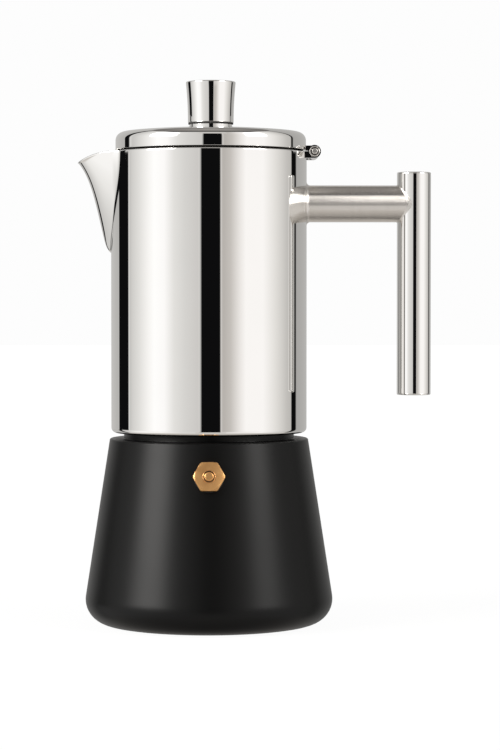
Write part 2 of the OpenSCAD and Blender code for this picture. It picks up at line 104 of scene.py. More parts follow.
PLATE_R, PLATE_H = half_size("base_plate", X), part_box("base_plate")[1].z
HINGE = Vector(joint("lid_hinge")["pos_m"])
VALVE_AXIS = Vector(joint("valve_pin_slide")["axis"]).normalized()
VALVE_MIDDLE = middle("valve_seal")


# ---------------------------------------------------------------- meshes


def surface(name, grid, wrap_rows=True):
    """Mesh object over a rows x columns grid of points. Columns close on themselves, and so do rows if asked.
    Points that coincide become one, so a row of radius zero is a pole. The faces are turned outwards."""
    rows, columns = grid.shape[:2]
    points, place = np.unique(np.round(grid.reshape(-1, 3), 9), axis=0, return_inverse=True)
    index = place.reshape(rows, columns)
    across = np.roll(index, -1, axis=1)
    if wrap_rows:
        above, above_across = np.roll(index, -1, axis=0), np.roll(across, -1, axis=0)
    else:
        above, above_across = index[1:], across[1:]
        index, across = index[:-1], across[:-1]
    quads = np.stack([index, across, above_across, above], axis=-1).reshape(-1, 4)
    a, b, c, d = quads.T
    volume = sum(
        np.einsum("ij,ij->i", points[p], np.cross(points[q], points[r])).sum()
        for p, q, r in ((a, b, c), (a, c, d))
    )
    if volume < 0:
        quads = quads[:, ::-1]
        a, b, c, d = quads.T
    whole = (a != b) & (b != c) & (c != d) & (d != a)
    faces = quads[whole].tolist()
    for pair, corners in (((0, 1), (0, 2, 3)), ((1, 2), (0, 1, 3)), ((2, 3), (0, 1, 2)), ((3, 0), (0, 1, 2))):
        merged = quads[:, pair[0]] == quads[:, pair[1]]
        thin = quads[merged][:, corners]
        kept = (thin[:, 0] != thin[:, 1]) & (thin[:, 1] != thin[:, 2]) & (thin[:, 2] != thin[:, 0])
        faces += thin[kept].tolist()
    mesh = bpy.data.meshes.new(name)
    mesh.from_pydata(points.tolist(), [], faces)
    mesh.shade_smooth()
    mesh.update()
    made = bpy.data.objects.new(name, mesh)
    bpy.context.scene.collection.objects.link(made)
    return made


def outline(corners, steps=8):
    """Closed outline through (x, y, radius) corners. Each corner with a radius becomes an arc that touches both of
    its sides, with one more point just outside each end of the arc, so that the sides stay straight."""
    places = np.array([corner[:2] for corner in corners], float)
    points = []
    for number, (x, y, radius) in enumerate(corners):
        here = places[number]
        back, ahead = places[number - 1] - here, places[(number + 1) % len(places)] - here
        back_length, ahead_length = np.linalg.norm(back), np.linalg.norm(ahead)
        if radius == 0 or min(back_length, ahead_length) == 0:
            points.append(here)
            continue
        back, ahead = back / back_length, ahead / ahead_length
        half = math.acos(float(np.clip(back @ ahead, -1, 1))) / 2
        reach = min(radius / math.tan(half), 0.98 * back_length, 0.98 * ahead_length)
        radius = reach * math.tan(half)
        centre = here + (back + ahead) / np.linalg.norm(back + ahead) * radius / math.sin(half)
        start, end = here + back * reach - centre, here + ahead * reach - centre
        swing = math.pi - 2 * half
        turn = np.linspace(0, 1, steps + 1)[:, None]
        arc = (np.sin((1 - turn) * swing) * start + np.sin(turn * swing) * end) / math.sin(swing)
        margin = 0.12 * radius
        if back_length > reach + 2 * margin:
            points.append(here + back * (reach + margin))
        points.extend(centre + arc)
        if ahead_length > reach + 2 * margin:
            points.append(here + ahead * (reach + margin))
    return np.array(points)


def turned(name, profile, centre=(0, 0), turns=256):
    """Solid of revolution about a vertical axis: each (r, z) of the profile goes to (r cos t, r sin t, z)."""
    t = np.linspace(0, 2 * np.pi, turns, endpoint=False)
    r, z = profile[:, 0:1], profile[:, 1:2]
    grid = np.stack([centre[0] + r * np.cos(t), centre[1] + r * np.sin(t), z + 0 * t], axis=-1)
    return surface(name, grid)


def hexagonal(name, rows, flats, turns=240, softness=70):
    """Hexagonal piece about +Z. A row is (r, z, hexagon): where hexagon is 1, its radius is the smaller of r and the
    hexagon's own, 1 / (sum of (cos(t - n) / apothem)^p over the six normals n)^(1/p), with softly rounded corners."""
    t = np.linspace(0, 2 * np.pi, turns, endpoint=False)
    normals = np.radians(30 + 60 * np.arange(6))[:, None]
    facing = np.clip(np.cos(t - normals), 0, None) / (flats / 2)
    hexagon = 1 / (facing**softness).sum(axis=0) ** (1 / softness)
    r, z, kind = np.array(rows, float).T[:, :, None]
    radius = np.where(kind > 0.5, np.minimum(r, hexagon), r)
    grid = np.stack([radius * np.cos(t), radius * np.sin(t), z + 0 * t], axis=-1)
    return surface(name, grid)


def settle(piece, place):
    """Puts a placement into a piece's mesh, so that its object stays at the origin."""
    piece.data.transform(place)
    piece.data.update()
    return piece


def finish_piece(piece, body, slot, material, *nodes):
    """Gives a piece its material and its body, and hides the CAD nodes that it stands for. slot is not used."""
    piece.data.materials.append(material)
    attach(piece, body)
    if nodes:
        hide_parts(*nodes)
    return piece


# ---------------------------------------------------------------- materials


def linear(colour):
    """Linear red, green, blue and alpha of an sRGB hex colour."""
    parts = [int(colour[i : i + 2], 16) / 255 for i in (0, 2, 4)]
    return tuple(p / 12.92 if p <= 0.04045 else ((p + 0.055) / 1.055) ** 2.4 for p in parts) + (1.0,)


def brighter(colour, times):
    """A linear colour times a factor."""
    return tuple(part * times for part in colour[:3]) + (1.0,)


def add(tree, kind, inputs=None, **settings):
    """Adds a node with its settings. inputs maps a socket's name or number to a value or to another node's output."""
    made = tree.nodes.new(kind)
    for key, value in settings.items():
        setattr(made, key, value)
    for key, value in (inputs or {}).items():
        if isinstance(value, bpy.types.NodeSocket):
            tree.links.new(value, made.inputs[key])
        else:
            made.inputs[key].default_value = value
    return made


def multiply(tree, first, second):
    """Product of two values."""
    return add(tree, "ShaderNodeMath", {0: first, 1: second}, operation="MULTIPLY").outputs[0]


def step_up(tree, value, start, end):
    """0 below start, 1 above end."""
    made = add(tree, "ShaderNodeMapRange", {"Value": value, "From Min": start, "From Max": end})
    return made.outputs["Result"]


def vary(tree, value, low, high):
    """Maps a 0 to 1 value to low to high."""
    made = add(tree, "ShaderNodeMapRange", {"Value": value, "To Min": low, "To Max": high})
    return made.outputs["Result"]


def mix_colour(tree, value, first, second):
    """Colour between two colours, each a value or another node's output."""
    return add(tree, "ShaderNodeMix", {0: value, 6: first, 7: second}, data_type="RGBA").outputs[2]


def noise_over(tree, scale, detail=3.0, stretch=(1, 1, 1)):
    """Noise on Object coordinates. scale is in cycles per metre, and stretch scales the axes against each other."""
    place = add(tree, "ShaderNodeTexCoord").outputs["Object"]
    stretched = add(tree, "ShaderNodeMapping", {"Vector": place, "Scale": stretch}).outputs["Vector"]
    return add(tree, "ShaderNodeTexNoise", {"Vector": stretched, "Scale": scale, "Detail": detail}).outputs["Fac"]


def ring_height(tree, centre, axis, spacing):
    """Height of turned rings about an axis: the sine of the distance from the axis over the spacing."""
    place = add(tree, "ShaderNodeTexCoord").outputs["Object"]
    from_centre = add(tree, "ShaderNodeVectorMath", {0: place, 1: tuple(centre)}, operation="SUBTRACT")
    across = add(
        tree, "ShaderNodeVectorMath",
        {0: from_centre.outputs["Vector"], 1: tuple(axis)}, operation="CROSS_PRODUCT",
    )
    distance = add(tree, "ShaderNodeVectorMath", {0: across.outputs["Vector"]}, operation="LENGTH")
    turns = multiply(tree, distance.outputs["Value"], 2 * math.pi / spacing)
    wave = add(tree, "ShaderNodeMath", {0: turns}, operation="SINE").outputs[0]
    return step_up(tree, wave, -1.0, 1.0)


METAL = {"Metallic": 1.0}


def new_material(name, values=None):
    """Material with its shader and output. values are the shader's even inputs. Gives material, tree and shader."""
    made = bpy.data.materials.new(name)
    made.use_nodes = True
    tree = made.node_tree
    tree.nodes.clear()
    shader = add(tree, "ShaderNodeBsdfPrincipled", values)
    add(tree, "ShaderNodeOutputMaterial", {"Surface": shader.outputs["BSDF"]})
    return made, tree, shader


def skin(tree, shader, colour_by, colours, rough_by, roughness):
    """Colour between two hex colours by one 0 to 1 value, and roughness from low to high by another."""
    first, second = (linear(colour) for colour in colours)
    tree.links.new(mix_colour(tree, colour_by, first, second), shader.inputs["Base Color"])
    tree.links.new(vary(tree, rough_by, *roughness), shader.inputs["Roughness"])


def set_bump(tree, shader, height, strength, distance):
    """Bumps a shader's normal by a height. distance is the height's full depth in metres."""
    bump = add(tree, "ShaderNodeBump", {"Height": height, "Strength": strength, "Distance": distance})
    tree.links.new(bump.outputs["Normal"], shader.inputs["Normal"])


def polished_steel():
    """18/10 stainless steel, buffed to a mirror. Sharp reflections with hardly any haze, a faint warm cast, and
    fine wiping marks that run round the pot."""
    made, tree, shader = new_material("polished_18_10_steel", METAL)
    haze = noise_over(tree, 45.0, 4.0)
    wiping = noise_over(tree, 90.0, 2.0, (1, 1, 30))
    skin(tree, shader, haze, ("f1f0ee", "f5f4f2"), multiply(tree, haze, wiping), (0.006, 0.03))
    return made


def spun_bar_steel():
    """Stainless bar polished in a lathe: fine rings round the bar spread reflections along it, so lights that stand
    side by side run together, while bands above each other stay sharp."""
    values = {"Metallic": 1.0, "Anisotropic": 1.0, "Anisotropic Rotation": 0.25}
    made, tree, shader = new_material("lathe_polished_steel", values)
    rings = noise_over(tree, 60.0, 2.0, (12, 1, 1))
    skin(tree, shader, rings, ("dedad5", "e6e2dd"), rings, (0.26, 0.28))
    along = add(tree, "ShaderNodeTangent", direction_type="RADIAL", axis="X")
    tree.links.new(along.outputs["Tangent"], shader.inputs["Tangent"])
    return made


def pressed_steel():
    """Deep-drawn stainless sheet left satin: even haze, faint clouds about 8 mm wide and drawing lines along Z."""
    made, tree, shader = new_material("satin_pressed_steel", METAL)
    clouds = noise_over(tree, 120.0, 4.0)
    lines = noise_over(tree, 900.0, 2.0, (1, 1, 0.06))
    skin(tree, shader, clouds, ("c9c8c6", "dad9d7"), lines, (0.2, 0.34))
    set_bump(tree, shader, lines, 0.15, 0.00005)
    return made


def shade_darkened_steel():
    """Satin steel inside the lid, painted dark to stand in for the shade in the gap under the lid's edge: dark and
    dull, with cloudy edges about 5 mm wide.
    """
    made, tree, shader = new_material("shade_darkened_satin_steel", METAL)
    clouds = noise_over(tree, 200.0, 4.0)
    skin(tree, shader, clouds, ("1b1816", "3b3733"), clouds, (0.35, 0.5))
    return made


def turned_steel():
    """Stainless steel cut in a lathe: fine grooves lie in rings, here 0.4 mm apart so that they show."""
    made, tree, shader = new_material("lathe_cut_steel", METAL)
    grooves = noise_over(tree, 400.0, 2.0, (0.05, 0.05, 6))
    skin(tree, shader, grooves, ("b4b3b1", "d2d1cf"), grooves, (0.22, 0.38))
    set_bump(tree, shader, grooves, 0.2, 0.00004)
    return made


def black_paint(colour, roughness):
    """Heat-proof satin black lacquer, sprayed and baked: a soft sheen with an orange-peel skin of about 0.5 mm,
    slightly duller in broad patches."""
    made, tree, shader = new_material("baked_black_lacquer", {"Specular IOR Level": 0.16})
    patches = noise_over(tree, 25.0, 3.0)
    skin(tree, shader, patches, (colour, "050505"), patches, (roughness - 0.03, roughness + 0.04))
    set_bump(tree, shader, noise_over(tree, 2200.0, 2.0), 0.12, 0.00003)
    return made


def turned_brass(colour):
    """Free-cutting brass, faced in a lathe and a little tarnished: rings 0.45 mm apart on the face, warm brown in
    the grooves, with soft highlights."""
    made, tree, shader = new_material("lathe_cut_brass", METAL)
    rings = ring_height(tree, VALVE_MIDDLE, VALVE_AXIS, 0.45 * MM)
    dulling = noise_over(tree, 350.0, 4.0)
    skin(tree, shader, multiply(tree, rings, dulling), ("dca265", colour), dulling, (0.32, 0.42))
    set_bump(tree, shader, rings, 0.5, 0.00003)
    return made


def turned_aluminium():
    """Aluminium plate faced in a lathe: rings 1.2 mm apart that catch the light, over a satin grey."""
    made, tree, shader = new_material("faced_aluminium", METAL)
    rings = ring_height(tree, (0, 0, 0), (0, 0, 1), 1.2 * MM)
    skin(tree, shader, noise_over(tree, 160.0, 4.0), ("b9babb", "cfd0d1"), rings, (0.28, 0.42))
    set_bump(tree, shader, rings, 0.3, 0.00006)
    return made


def seal_silicone():
    """Food-grade silicone: milky white with a soft sheen, a little light going into it, and a matt moulded skin."""
    values = {"Subsurface Weight": 0.2, "Subsurface Scale": 0.002}
    made, tree, shader = new_material("white_silicone", values)
    grain = noise_over(tree, 1500.0, 2.0)
    skin(tree, shader, grain, ("d9d5cc", "e6e3db"), grain, (0.45, 0.6))
    set_bump(tree, shader, grain, 0.1, 0.00003)
    return made


def black_fibre_and_shade():
    """Pressed-fibre sealing ring: nearly black and dull, with a fine felted grain. The valve's sealing ring is real
    fibre; the rings under the knob and in the hinge nut use the same black as painted shade.
    """
    made, tree, shader = new_material("black_fibre_seal_and_painted_shade")
    grain = noise_over(tree, 3000.0, 4.0)
    skin(tree, shader, grain, ("0c0c0c", "1d1b19"), grain, (0.6, 0.8))
    set_bump(tree, shader, grain, 0.3, 0.00005)
    return made


def plated_fasteners():
    """Small stainless screws and nuts, tumbled bright: a clear shine with faint tool marks."""
    made, tree, shader = new_material("tumbled_stainless_fasteners", METAL)
    marks = noise_over(tree, 900.0, 3.0)
    skin(tree, shader, marks, ("d6d3cf", "eceae6"), marks, (0.26, 0.4))
    return made


def spring_wire():
    """Hard-drawn spring wire: dark grey steel with a dull shine and draw marks."""
    made, tree, shader = new_material("drawn_spring_wire", METAL)
    marks = noise_over(tree, 1800.0, 2.0)
    skin(tree, shader, marks, ("7c7b79", "9b9a98"), marks, (0.3, 0.45))
    return made


def floor_paper(colour, glow):
    """White background paper lit from below: glows evenly to white, and the little light that it takes from above
    leaves a faint contact shadow."""
    made, tree, shader = new_material("white_background_paper", {
        "Roughness": 0.9, "Specular IOR Level": 0.0, "Emission Color": linear("ffffff"), "Emission Strength": glow,
    })
    paper = mix_colour(tree, noise_over(tree, 300.0, 3.0), linear(colour), linear("4c4c4c"))
    tree.links.new(paper, shader.inputs["Base Color"])
    return made


# ---------------------------------------------------------------- settings


def length(name, default, description, low=0.0, high=1.0):
    """A length that the user can change, in metres."""
    return FloatProperty(
        name=name, description=description, default=default,
        min=low, max=high, precision=4, subtype="DISTANCE", unit="LENGTH",
    )


def colour_setting(name, description, default):
    """A colour that the user can change, as displayed."""
    return FloatVectorProperty(
        name=name, description=description, subtype="COLOR_GAMMA", size=3, min=0, max=1, default=default,
    )


def place_setting(name, description, default):
    """A point that the user can move, in metres."""
    return FloatVectorProperty(
        name=name, description=description, subtype="XYZ", unit="LENGTH", size=3, default=default,
    )


class MokaBoilerSettings(bpy.types.PropertyGroup):
    """Shape and paint of the boiler."""

    edge_round: length("Edge", 10.3 * MM, "Radius of the round lower edge", 0.001, 0.0115)
    shoulder_round: length("Shoulder", 0.8 * MM, "Radius of the shoulder's edge", 0.0002, 0.002)
    sheet: length("Sheet", 1.2 * MM, "Thickness of the sheet", 0.0008, 0.0015)
    foot_lift: length("Foot lift", 0.2 * MM, "Height of the shell's lowest point", 0.0001, 0.001)
    paint: colour_setting("Paint", "Colour of the lacquer", (0.03, 0.03, 0.031))
    paint_roughness: FloatProperty(name="Sheen", description="Roughness of the lacquer", default=0.33, min=0.1, max=0.9)


class MokaJugSettings(bpy.types.PropertyGroup):
    """Shape of the jug and its spout."""

    sheet: length("Sheet", 0.9 * MM, "Thickness of the sheet", 0.0005, 0.0015)
    foot_round: length("Foot", 2.0 * MM, "Radius of the lower edge", 0.0005, 0.003)
    foot_flange: length("Flange", 4.8 * MM, "Width of the flange that turns in at the foot", 0.003, 0.0048)
    seam_half: length("Spout width", 18.2 * MM, "Half of the spout's width at the rim", 0.01, 0.02)
    seam_round: length("Spout seam", 0.5 * MM, "Depth of the blend between spout and wall", 0.0001, 0.002)
    nose_share: FloatProperty(
        name="Spout nose", description="Roundness of the front edge", default=0.35, min=0.05, max=1,
    )
    lip_drop: length("Lip drop", 4.1 * MM, "How far the lip's tip lies below the rim", 0.0, 0.01)
    columns: IntProperty(name="Columns", description="Grid columns round the jug", default=500, min=96, max=640)


class MokaHandleSettings(bpy.types.PropertyGroup):
    """Shape of the handle."""

    jug_weld: length("Jug weld", 1.5 * MM, "Radius of the weld at the jug", 0.0003, 0.003)
    grip_weld: length("Grip weld", 0.45 * MM, "Radius of the weld at the grip", 0.0002, 0.0005)
    tube_wall: length("Tube wall", 1.0 * MM, "Thickness of the grip's wall", 0.0005, 0.002)
    cap_bevel: length("Cap bevel", 0.5 * MM, "Bevel of the grip's end plugs", 0.0002, 0.001)


class MokaLidSettings(bpy.types.PropertyGroup):
    """Shape of the lid and its knob."""

    sheet: length("Sheet", 1.0 * MM, "Thickness of the lid's sheet", 0.0005, 0.0015)
    gap: length("Gap", 0.3 * MM, "How far the lid's edge is held up", 0.0, 0.0005)
    shoulder_round: length("Shoulder", 3.5 * MM, "Radius of the lid's shoulder", 0.001, 0.005)
    dome_radius: length("Dome", 0.387, "Radius of the shallow dome", 0.2, 1.0)
    knob_flare: length("Knob flare", 0.9 * MM, "How much wider the knob is at its top", 0.0, 0.002)
    knob_drop: length("Knob drop", 0.45 * MM, "How far the knob reaches down over its neck", 0.0, 0.001)
    # The black ring under the knob is painted shade: a dark ring that stands in for the shade in the groove between the
    # knob and its neck.
    knob_shade_ring: length("Knob ring", 0.65 * MM, "Thickness of the black ring under the knob", 0.0002, 0.001)
    knob_bevel: length("Knob bevel", 0.5 * MM, "Radius of the knob's top edge", 0.0002, 0.002)


class MokaValveSettings(bpy.types.PropertyGroup):
    """Shape and colour of the safety valve."""

    flats: length("Flats", 11.6 * MM, "Width of the hexagon across its flats", 0.01, 0.013)
    corners: length("Corners", 13.0 * MM, "Width of the hexagon across its turned corners", 0.0119, 0.0138)
    dish: length("Dish", 0.25 * MM, "Depth of the face's shallow dish", 0.0, 0.0006)
    bevel: length("Bevel", 0.55 * MM, "Height of the bevel on the hexagon's corners", 0.0002, 0.001)
    brass: colour_setting("Brass", "Colour of the brass", (0.97, 0.8, 0.56))


class MokaStageSettings(bpy.types.PropertyGroup):
    """Camera, floor and light."""

    eye: place_setting("Eye", "Place of the camera", (0.0, -1.09, 0.138))
    target: place_setting("Target", "Point in the middle of the view", (0.0172, 0.0, 0.1043))
    lens: FloatProperty(name="Lens", description="Focal length in millimetres, on a 36 mm tall sensor", default=124.8)
    light: FloatProperty(name="Light", description="Strength of the studio light", default=1.12, min=0.1, max=5)
    floor_size: length("Floor", 12.0, "Width of the floor", 1.0, 50.0)


def hex_of(colour):
    """Hex text of a display colour."""
    return "".join(f"{round(part * 255):02x}" for part in colour)


# ---------------------------------------------------------------- operators


class MOKA_OT_boiler(bpy.types.Operator):
    """Make the black boiler shell and its foot plate"""

    bl_idname = "moka.boiler"
    bl_label = "Boiler"

    def execute(self, context):
        s = context.scene.moka_boiler
        slope = math.tan(math.radians(8.8))
        shoulder_z = BOILER_TOP - 3.5 * MM
        shoulder_r = 41.5 * MM
        collar_r = 35.6 * MM
        bore = 34.4 * MM
        lean = s.sheet / math.cos(math.radians(8.8))
        floor_top = PLATE_H + s.sheet
        under = shoulder_z - s.sheet

        def wall(z):
            return shoulder_r + (shoulder_z - z) * slope

        profile = outline([
            (PLATE_R, s.foot_lift, 0.1 * MM),
            (wall(s.foot_lift), s.foot_lift, s.edge_round),
            (shoulder_r, shoulder_z, s.shoulder_round),
            (collar_r, shoulder_z, 0.3 * MM),
            (collar_r, BOILER_TOP, 0.4 * MM),
            (bore, BOILER_TOP, 0.1 * MM),
            (bore, under, 0.2 * MM),
            (wall(under) - lean, under, 0.6 * MM),
            (wall(floor_top) - lean, floor_top, s.edge_round - s.sheet),
            (0, floor_top, 0),
            (0, PLATE_H, 0),
            (PLATE_R, PLATE_H, 0.1 * MM),
        ], steps=14)
        shell = turned("boiler_shell_skin", profile, turns=320)
        finish_piece(shell, "boiler", "black_enamel", black_paint(hex_of(s.paint), s.paint_roughness), "boiler_shell")

        groove, rings = 0.3 * MM, []
        for radius in (34, 26, 18):
            rings += [
                ((radius + 0.9) * MM, 0, 0.1 * MM), ((radius + 0.7) * MM, groove, 0.1 * MM),
                ((radius + 0.2) * MM, groove, 0.1 * MM), (radius * MM, 0, 0.1 * MM),
            ]
        plate = turned("foot_plate", outline([
            (0, PLATE_H, 0), (PLATE_R, PLATE_H, 0.1 * MM), (PLATE_R, 0, 0.8 * MM), *rings, (0, 0, 0),
        ], steps=5), turns=256)
        finish_piece(plate, "boiler", "base_aluminium", turned_aluminium(), "base_plate")
        return {"FINISHED"}


def valve_place():
    """Matrix that puts +Z along the valve's axis, +X along the row's +X and the origin in the seal's middle."""
    side = Vector((1, 0, 0))
    up = VALVE_AXIS.cross(side)
    turn = Matrix((side, up, VALVE_AXIS)).transposed().to_4x4()
    return Matrix.Translation(VALVE_MIDDLE) @ turn


def spring_grid(coil_r, wire_r, low, high, end_pitch, turns=7):
    """Points of a coil spring. The wire's middle runs at (R cos a, R sin a, z), where z climbs by end_pitch in the
    first and the last turn and evenly between them. Its section is a circle in the radial and axial directions."""
    a = np.linspace(0, 2 * np.pi * turns, 44 * turns + 1)
    z = np.interp(a / (2 * np.pi), [0, 1, turns - 1, turns], [low, low + end_pitch, high - end_pitch, high])
    wire = np.pad(np.full(len(a), wire_r), 1)[:, None]
    a, z = np.pad(a, 1, "edge")[:, None], np.pad(z, 1, "edge")[:, None]
    around = np.linspace(0, 2 * np.pi, 12, endpoint=False)
    r = coil_r + wire * np.cos(around)
    return np.stack([np.cos(a) * r, np.sin(a) * r, z + wire * np.sin(around)], axis=-1)


class MOKA_OT_valve(bpy.types.Operator):
    """Make the brass safety valve, its pin, its spring and its sealing ring"""

    bl_idname = "moka.valve"
    bl_label = "Safety valve"

    def execute(self, context):
        s = context.scene.moka_valve
        place = valve_place()
        seal_half = 0.575 * MM
        inner = -8.125 * MM
        face = seal_half + 4.2 * MM
        corner = s.corners / 2
        shank, chamber, hole = 4.95 * MM, 3.3 * MM, 2.35 * MM
        ledge = face - 1.4 * MM
        steps = np.linspace(0, 1, 9)
        bevel_rows = [(corner - 1.25 * s.bevel * t**1.3, face - s.bevel * (1 - t), 1) for t in steps]
        flat_r = corner - 1.35 * s.bevel
        dish_rows = [
            (hole + 0.35 * MM + (flat_r - 0.25 * MM - hole - 0.35 * MM) * (1 - t),
             face - s.dish * (0.25 + 0.75 * t**0.7), 1) for t in steps
        ]
        rim_rows = [
            (hole + 0.35 * MM * math.cos(a), face - s.dish - 0.35 * MM * (1 - math.cos(a - math.pi / 2)), 0)
            for a in np.linspace(0.15, math.pi / 2, 6)
        ]
        rows = (
            [(corner, seal_half + 0.02 * MM, 1), (corner, face - 1.2 * s.bevel, 1)]
            + bevel_rows + dish_rows + rim_rows
            + [(hole, ledge, 0), (hole + 0.05 * MM, ledge, 0), (chamber, ledge, 0), (chamber, ledge - 0.1 * MM, 0),
               (chamber, inner, 0), (chamber + 0.1 * MM, inner, 0), (shank, inner, 0), (shank, inner + 0.1 * MM, 0),
               (shank, seal_half, 0), (shank + 0.1 * MM, seal_half, 0)]
        )
        brass = turned_brass(hex_of(s.brass))
        body = settle(hexagonal("valve_hexagon", rows, s.flats), place)
        body.data.set_sharp_from_angle(angle=math.radians(50))
        finish_piece(body, "boiler", "valve_brass", brass, "valve_body")

        pin_r = 1.9 * MM
        low, high = inner + 2.05 * MM, face + 0.3 * MM
        poppet_r, poppet_h = 3.0 * MM, 1.4 * MM
        pin = turned("valve_stem", outline([
            (0, low, 0), (poppet_r, low, 0.3 * MM), (poppet_r, low + poppet_h, 0.15 * MM),
            (pin_r, low + poppet_h, 0.15 * MM), (pin_r, high, 0.4 * MM), (0, high, 0),
        ], steps=6), turns=96)
        finish_piece(settle(pin, place), "valve_pin", "valve_brass", brass, "valve_pin")

        wire_r = 0.25 * MM
        spring_low, spring_high = low + poppet_h + wire_r, ledge - wire_r
        coil = spring_grid((pin_r + chamber) / 2, wire_r, spring_low, spring_high, 2.1 * wire_r)
        spring = settle(surface("valve_coil_spring", coil, wrap_rows=False), place)
        spring.data.materials.append(spring_wire())
        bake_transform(spring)
        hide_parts("valve_spring")

        seal_r, seal_bore = 6.1 * MM, 5.0 * MM
        seal = turned("valve_sealing_ring", outline([
            (seal_bore, -seal_half, 0.1 * MM), (seal_r, -seal_half, 0.1 * MM),
            (seal_r, seal_half, 0.25 * MM), (seal_bore, seal_half, 0.1 * MM),
        ], steps=6), turns=128)
        finish_piece(settle(seal, place), "boiler", "valve_fibre", black_fibre_and_shade(), "valve_seal")
        return {"FINISHED"}


def beak_reach(z):
    """How far the spout's front edge stands out from the wall at a height. With s = 0 at its foot and 1 at its tip
    it is a quick swell, 1 - exp(-s / 0.04), then a straight slope and a flare that goes with s^6."""
    s = np.clip((z - SPOUT_FOOT) / (LIP_Z - SPOUT_FOOT), 0, 1.15)
    return (1.6 * (1 - np.exp(-s / 0.04)) + 8.5 * s + 3.4 * s**6) * (LIP_X - JUG_R) / 13.5


def jug_radius(angle, z, s):
    """Distance of the jug's outer skin from its axis, at an angle from the spout's middle and at a height.

    The wall is a circle of radius R. A level cut through the spout is a hyperbola with its nose at the distance T,
    x = T + h - sqrt(h^2 + m^2 y^2), which meets the circle at the seam. In polar form that is
    c / ((T + h) cos a + sqrt(h^2 cos^2 a + c m^2 sin^2 a)) with c = T^2 + 2 T h. The larger of the two is taken, and
    where they differ by less than w it is raised by (w - difference)^2 / (4 w), which makes the concave seam."""
    reach = beak_reach(z)
    drop = np.clip((JUG_TOP - z) / (JUG_TOP - SPOUT_FOOT), 0, 0.99999)
    half = s.seam_half * (1 - drop**2) ** 0.8
    tip = JUG_R + reach
    depth = tip - np.sqrt(JUG_R**2 - half**2)
    slope = depth / (half * (math.sqrt(1 + s.nose_share**2) - s.nose_share))
    h = s.nose_share * half * slope
    c = tip**2 + 2 * tip * h
    root = np.sqrt((h * np.cos(angle)) ** 2 + c * (slope * np.sin(angle)) ** 2)
    spout = c / ((tip + h) * np.cos(angle) + root)
    within = (np.abs(angle) < np.arcsin(half / JUG_R) + 0.35) & (z > SPOUT_FOOT)
    spout = np.where(within, spout, 0)
    blend = np.minimum(s.seam_round, 0.4 * reach) + 1e-9
    near = np.clip(blend - np.abs(spout - JUG_R), 0, None)
    return np.maximum(spout, JUG_R) + near**2 / (4 * blend)


def jug_rim(angle, s):
    """Height of the rim at an angle. It drops by ((x - 38 mm) / (tip - 38 mm))^2.4 towards the spout's tip."""
    begin = 38 * MM
    z = np.full_like(angle, JUG_TOP)
    for _ in range(12):
        x = jug_radius(angle, z, s) * np.cos(angle)
        z = 0.4 * z + 0.6 * (JUG_TOP - s.lip_drop * np.clip((x - begin) / (LIP_X - begin), 0, 1.02) ** 2.4)
    return z


def jug_wall_grid(s):
    """Points of the jug's wall as one closed skin, rows up the outside, over the rim and down the inside."""
    w = np.linspace(-1, 1, s.columns, endpoint=False)[None]
    angle = np.pi * (0.3 * w + 0.7 * w**3)
    join = SPOUT_FOOT - 6 * MM
    rim = jug_rim(angle, s)
    half = s.sheet / 2

    def row(fraction, inset, down):
        """One row at a fraction of the upper wall's height, moved inwards by inset and down by down."""
        z = join + fraction * (rim - join)
        r = jug_radius(angle, z, s) - inset
        return np.stack([-r * np.cos(angle), r * np.sin(angle), z - down], axis=-1)

    def ring(r, z):
        """One plain round row below the spout."""
        return np.stack([-r * np.cos(angle), r * np.sin(angle), z + 0 * angle], axis=-1)

    flange_top = JUG_LOW + MM
    foot = [
        ring(r, z) for r, z in outline([
            (JUG_R - s.sheet, join, 0), (JUG_R - s.sheet, flange_top, 0.3 * MM),
            (JUG_R - s.foot_flange, flange_top, 0.2 * MM), (JUG_R - s.foot_flange, JUG_LOW, 0.3 * MM),
            (JUG_R, JUG_LOW, s.foot_round), (JUG_R, join, 0),
        ], steps=8)[1:-1]
    ]
    rise = np.concatenate([np.linspace(0, 0.1, 4), np.linspace(0.12, 0.22, 22), np.linspace(0.23, 1, 66)])
    coarse = np.concatenate([rise[:4], rise[4:26:3], rise[26::2], [1]])
    outer = [row(f, 0, half * f**60) for f in rise]
    over = [
        row(1.0, half * (1 - math.cos(a)), half * (1 - math.sin(a))) for a in np.linspace(0, math.pi, 9)[1:-1]
    ]
    inner = [row(f, s.sheet, half * f**60) for f in coarse[::-1]]
    return np.concatenate(foot + outer + over + inner)


class MOKA_OT_jug(bpy.types.Operator):
    """Make the mirror-polished jug wall with its beak spout"""

    bl_idname = "moka.jug"
    bl_label = "Jug"

    def execute(self, context):
        wall = surface("jug_wall_and_spout", jug_wall_grid(context.scene.moka_jug))
        finish_piece(wall, "jug", "polished_steel", bpy.data.materials["polished_18_10_steel"], "jug_shell", "spout")
        return {"FINISHED"}


